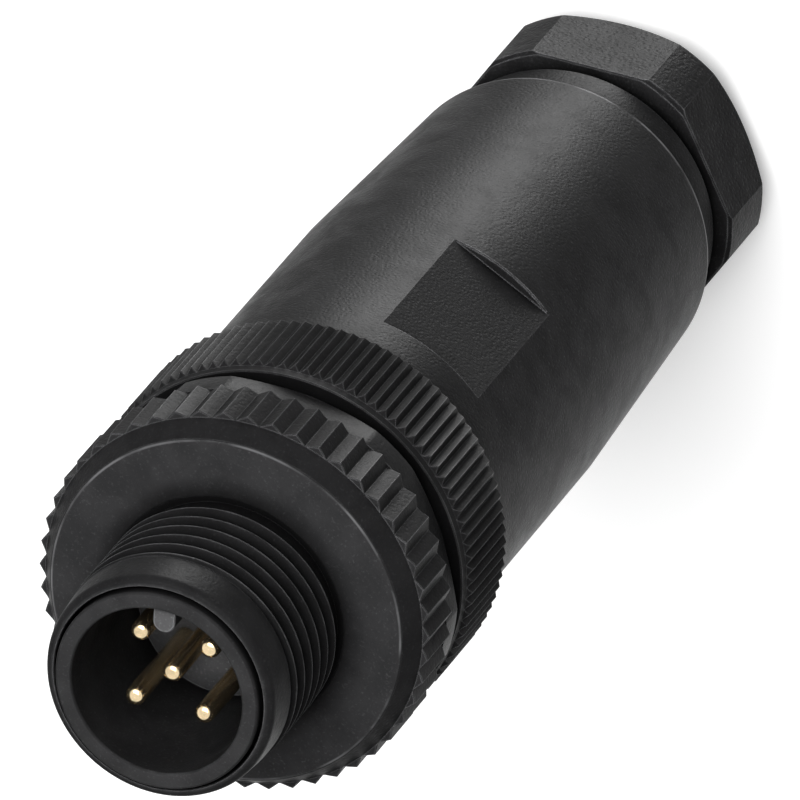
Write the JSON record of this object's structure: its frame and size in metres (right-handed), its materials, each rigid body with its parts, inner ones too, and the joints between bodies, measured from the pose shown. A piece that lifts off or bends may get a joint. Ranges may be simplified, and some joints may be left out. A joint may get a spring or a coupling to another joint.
{
  "type": "m12 connector",
  "caption": "Straight round cable plug with a screw-on coupling ring, gold contacts in a keyed collar, a tapered sleeve and a hexagonal gland nut.",
  "frame": {"origin": "centre of the gland nut's rear face, on the connector's axis", "axes": "+Z along the axis towards the contacts, -Y out of one wrench flat of the sleeve"},
  "size_m": [0.02, 0.02, 0.062],
  "materials": {
    "black_plastic": "moulded, fine matte grain",
    "carrier_plastic": "moulded, satin",
    "slip_plastic": "natural polyamide",
    "seal_rubber": "soft matte",
    "gold_contact": "gold plated",
    "guard_metal": "tinned spring brass",
    "screw_steel": "zinc plated"
  },
  "bodies": {
    "gland_nut": {"gland_nut": "black_plastic"},
    "pressure_ring": {"pressure_ring": "slip_plastic"},
    "sleeve": {"sleeve": "black_plastic", "cable_seal": "seal_rubber", "clamping_cage": "slip_plastic"},
    "joint_seal": {"joint_seal": "seal_rubber"},
    "carrier": {"contact_carrier": "carrier_plastic", "grip_ring": "black_plastic", "terminal_block": "carrier_plastic", "terminal_screws": "screw_steel", "contact_pin_1": "gold_contact", "contact_pin_2": "gold_contact", "contact_pin_3": "gold_contact", "contact_pin_4": "gold_contact", "contact_pin_5": "gold_contact", "wire_guard_1": "guard_metal", "wire_guard_2": "guard_metal", "wire_guard_3": "guard_metal", "wire_guard_4": "guard_metal", "wire_guard_5": "guard_metal"},
    "coupling_screw": {"coupling_screw": "black_plastic"}
  },
  "joints": [
    {"name": "nut_turn", "type": "hinge", "parent": "gland_nut", "child": "pressure_ring", "pos_m": [0, 0, 0.00998], "axis": [0, 0, 1], "range_deg": [-144, 1080]},
    {"name": "sleeve_slide", "type": "slide", "parent": "pressure_ring", "child": "sleeve", "axis": [0, 0, 1], "range_m": [-0.00041, 0.00301]},
    {"name": "seal_slide", "type": "slide", "parent": "sleeve", "child": "joint_seal", "axis": [0, 0, 1], "range_m": [0, 0.00401]},
    {"name": "carrier_turn", "type": "hinge", "parent": "joint_seal", "child": "carrier", "pos_m": [0, 0, 0.035], "axis": [0, 0, 1], "range_deg": [0, 1440]},
    {"name": "coupling_spin", "type": "hinge", "parent": "carrier", "child": "coupling_screw", "pos_m": [0, 0, 0.04685], "axis": [0, 0, 1], "continuous": true}
  ],
  "couplings": [
    {"joint": "sleeve_slide", "follows": "nut_turn", "m_per_rad": 0.00015915},
    {"joint": "seal_slide", "follows": "carrier_turn", "m_per_rad": 0.00015915}
  ]
}
